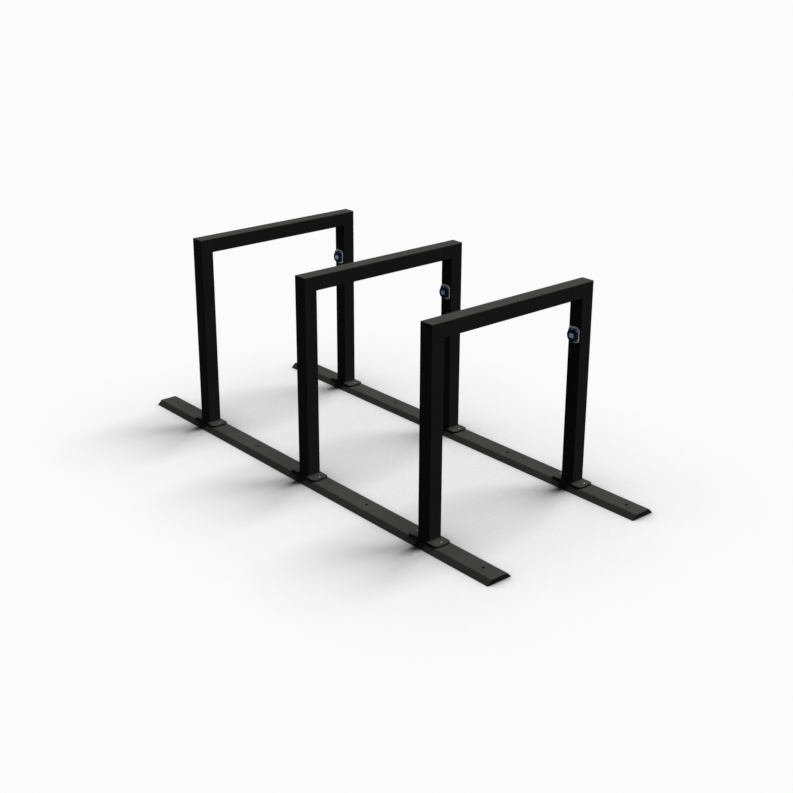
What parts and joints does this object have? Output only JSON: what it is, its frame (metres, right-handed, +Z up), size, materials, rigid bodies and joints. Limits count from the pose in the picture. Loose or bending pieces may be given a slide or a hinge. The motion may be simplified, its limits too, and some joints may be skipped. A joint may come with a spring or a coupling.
{
  "type": "bike rack with charging sockets",
  "caption": "Low bike rack of black square-tube hoops bolted to two floor rails, with a lidded mains socket on the far leg of each hoop for charging e-bikes.",
  "frame": {"origin": "on the ground under the middle of the rack", "axes": "+X along the floor rails, +Y from the near rail to the far rail whose legs carry the sockets, +Z up"},
  "size_m": [2.16, 0.875, 0.85],
  "materials": {
    "black_powder_coat": "fine-textured matt powder coat",
    "zinc_steel": "zinc-nickel plated, dark passivated",
    "stainless_steel": "plain stainless",
    "black_rubber": "moulded",
    "pale_grey_coat": "satin moulded",
    "blue_plastic": "moulded, low gloss",
    "pale_thermoset": "moulded",
    "black_plastic": "moulded",
    "contact_brass": "plain",
    "white_inlay": "satin, bare"
  },
  "bodies": {
    "rack": {"near_rail": "black_powder_coat", "far_rail": "black_powder_coat", "base_bolts": "zinc_steel", "base_washers": "zinc_steel", "base_nuts": "zinc_steel", "cable_grommets": "black_rubber", "socket_screws": "zinc_steel", "terminal_screws": "stainless_steel", "hoop_1_near_leg": "black_powder_coat", "hoop_1_far_leg": "black_powder_coat", "hoop_1_top_tube": "black_powder_coat", "hoop_1_near_plate": "black_powder_coat", "hoop_1_far_plate": "black_powder_coat", "socket_1_backing_plate": "pale_grey_coat", "socket_1_gasket": "black_rubber", "socket_1_housing": "blue_plastic", "socket_1_carrier": "pale_thermoset", "socket_1_live_contacts": "contact_brass", "socket_1_earth_bracket": "stainless_steel", "socket_1_terminal_cover": "black_plastic", "socket_1_hinge_pin": "stainless_steel", "socket_1_lid_spring": "stainless_steel", "hoop_2_near_leg": "black_powder_coat", "hoop_2_far_leg": "black_powder_coat", "hoop_2_top_tube": "black_powder_coat", "hoop_2_near_plate": "black_powder_coat", "hoop_2_far_plate": "black_powder_coat", "socket_2_backing_plate": "pale_grey_coat", "socket_2_gasket": "black_rubber", "socket_2_housing": "blue_plastic", "socket_2_carrier": "pale_thermoset", "socket_2_live_contacts": "contact_brass", "socket_2_earth_bracket": "stainless_steel", "socket_2_terminal_cover": "black_plastic", "socket_2_hinge_pin": "stainless_steel", "socket_2_lid_spring": "stainless_steel", "hoop_3_near_leg": "black_powder_coat", "hoop_3_far_leg": "black_powder_coat", "hoop_3_top_tube": "black_powder_coat", "hoop_3_near_plate": "black_powder_coat", "hoop_3_far_plate": "black_powder_coat", "socket_3_backing_plate": "pale_grey_coat", "socket_3_gasket": "black_rubber", "socket_3_housing": "blue_plastic", "socket_3_carrier": "pale_thermoset", "socket_3_live_contacts": "contact_brass", "socket_3_earth_bracket": "stainless_steel", "socket_3_terminal_cover": "black_plastic", "socket_3_hinge_pin": "stainless_steel", "socket_3_lid_spring": "stainless_steel"},
    "lid_1": {"socket_1_lid": "blue_plastic", "socket_1_lid_seal": "black_rubber", "socket_1_lid_inlay": "white_inlay"},
    "lid_2": {"socket_2_lid": "blue_plastic", "socket_2_lid_seal": "black_rubber", "socket_2_lid_inlay": "white_inlay"},
    "lid_3": {"socket_3_lid": "blue_plastic", "socket_3_lid_seal": "black_rubber", "socket_3_lid_inlay": "white_inlay"}
  },
  "joints": [
    {"name": "lid_1_hinge", "type": "hinge", "parent": "rack", "child": "lid_1", "pos_m": [-0.72, 0.3363, 0.665], "axis": [-1, 0, 0], "range_deg": [0, 110], "stiffness_Nm_per_rad": 0.02, "springref_deg": -45.84, "deforming": ["socket_1_lid_spring"]},
    {"name": "lid_2_hinge", "type": "hinge", "parent": "rack", "child": "lid_2", "pos_m": [0, 0.3363, 0.665], "axis": [-1, 0, 0], "range_deg": [0, 110], "stiffness_Nm_per_rad": 0.02, "springref_deg": -45.84, "deforming": ["socket_2_lid_spring"]},
    {"name": "lid_3_hinge", "type": "hinge", "parent": "rack", "child": "lid_3", "pos_m": [0.72, 0.3363, 0.665], "axis": [-1, 0, 0], "range_deg": [0, 110], "stiffness_Nm_per_rad": 0.02, "springref_deg": -45.84, "deforming": ["socket_3_lid_spring"]}
  ]
}
